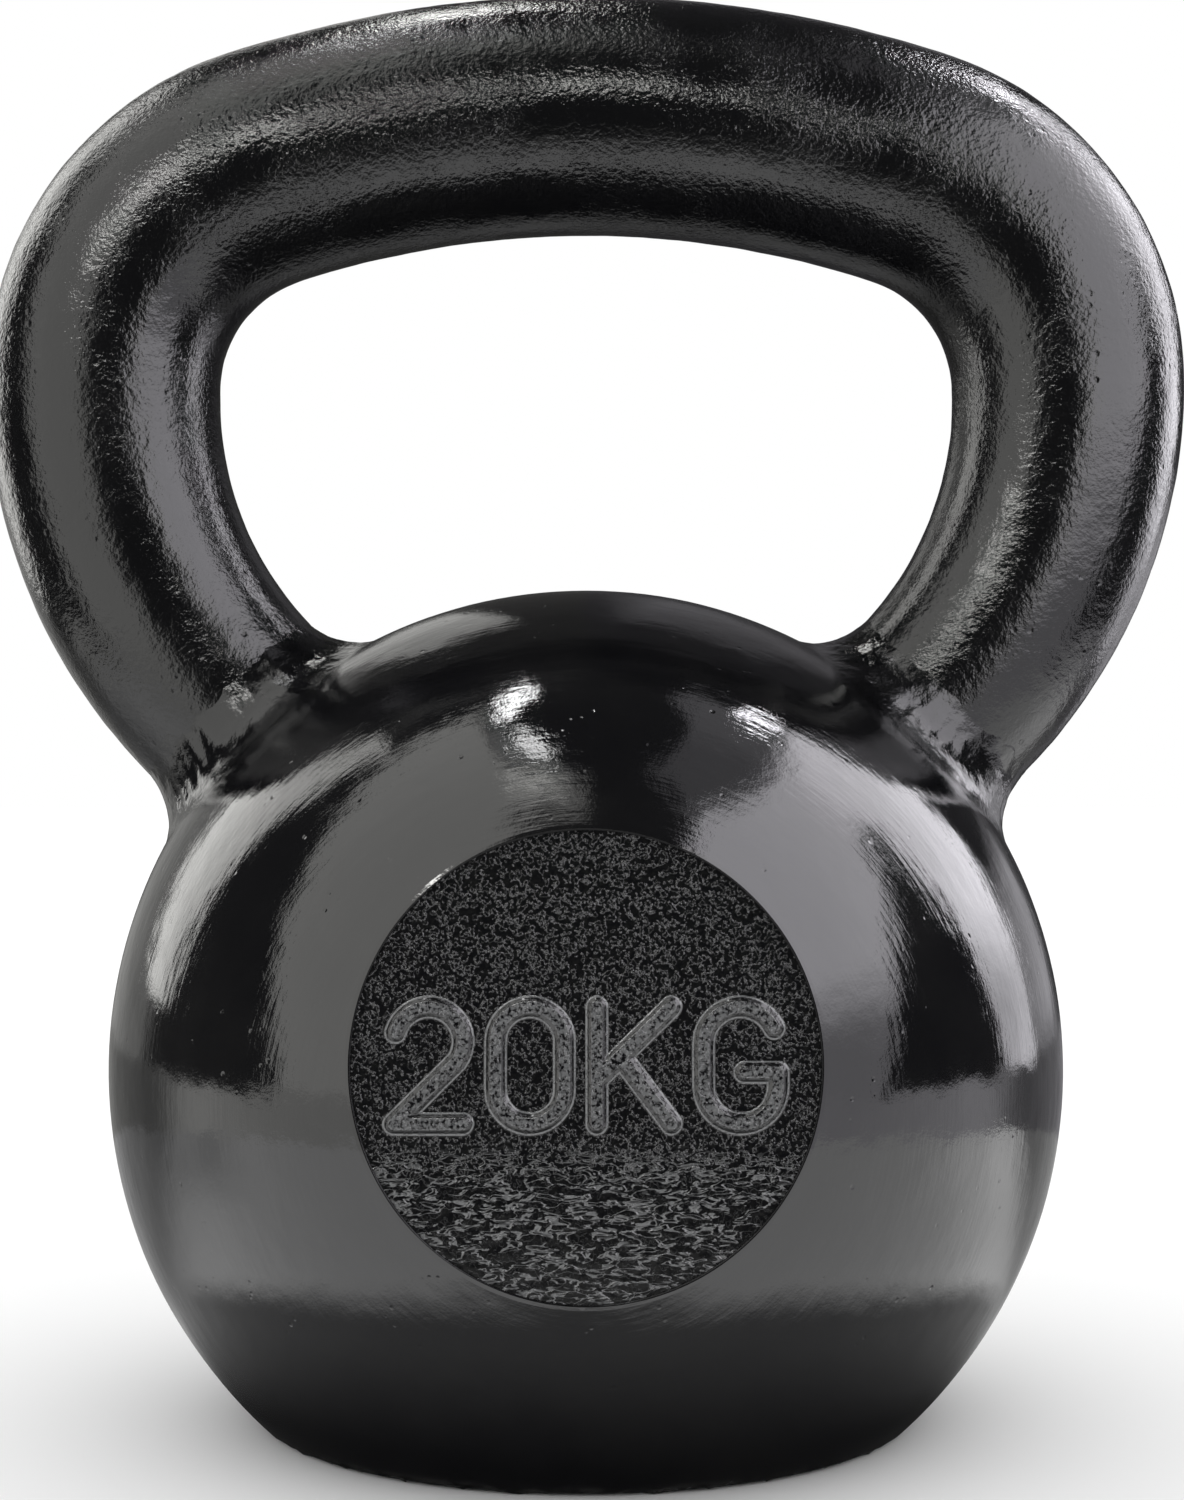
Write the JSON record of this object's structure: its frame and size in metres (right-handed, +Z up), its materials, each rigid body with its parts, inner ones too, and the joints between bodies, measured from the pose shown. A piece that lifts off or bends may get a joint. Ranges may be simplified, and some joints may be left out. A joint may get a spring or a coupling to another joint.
{
  "type": "kettlebell",
  "caption": "Round exercise weight with a flat foot, a bent bar handle welded on top and a flat, slightly sunk round face front and back, the front one carrying a raised weight mark.",
  "frame": {"origin": "centre of the flat foot, on the surface the bell stands on", "axes": "+Z up, through the middle of the handle; the handle's bends lie in the XZ plane; the flat round face with the weight mark faces -Y"},
  "size_m": [0.2108, 0.1572, 0.2481],
  "materials": {
    "ball_enamel": "ground cast iron under glossy black enamel, left as cast on the round faces",
    "handle_enamel": "glossy black enamel over a fine grainy skin",
    "weld_enamel": "dressed weld under the same black enamel",
    "charge": "iron shot set in resin",
    "plug_steel": "blackened steel",
    "seal_rubber": "matt rubber"
  },
  "bodies": {
    "root": {"ball": "ball_enamel", "handle": "handle_enamel", "left_weld": "weld_enamel", "right_weld": "weld_enamel", "ballast": "charge", "base_plug": "plug_steel", "plug_seal": "seal_rubber"}
  },
  "joints": []
}
